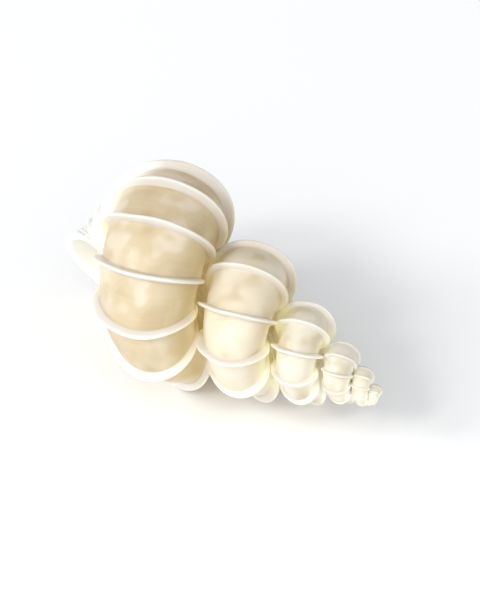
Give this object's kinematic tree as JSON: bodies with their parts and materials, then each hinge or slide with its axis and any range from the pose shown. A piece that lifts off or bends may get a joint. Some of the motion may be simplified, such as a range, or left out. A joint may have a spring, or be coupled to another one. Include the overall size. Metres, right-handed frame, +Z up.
{
  "type": "wentletrap shell",
  "caption": "Loosely coiled spiral sea shell with thin raised ribs that bridge its whorls and a round, thick-lipped mouth.",
  "frame": {"origin": "centre of the bottom of the bounding box, on the surface that the shell rests on", "axes": "+Z up from the surface; the tip of the spire points towards +X and a little towards -Y, the mouth towards -X and -Y"},
  "size_m": [0.0488, 0.0422, 0.0319],
  "materials": {
    "shell": "natural porcelain-like gloss, cream to tan between white ribs"
  },
  "bodies": {
    "root": {"shell": "shell"}
  },
  "joints": []
}
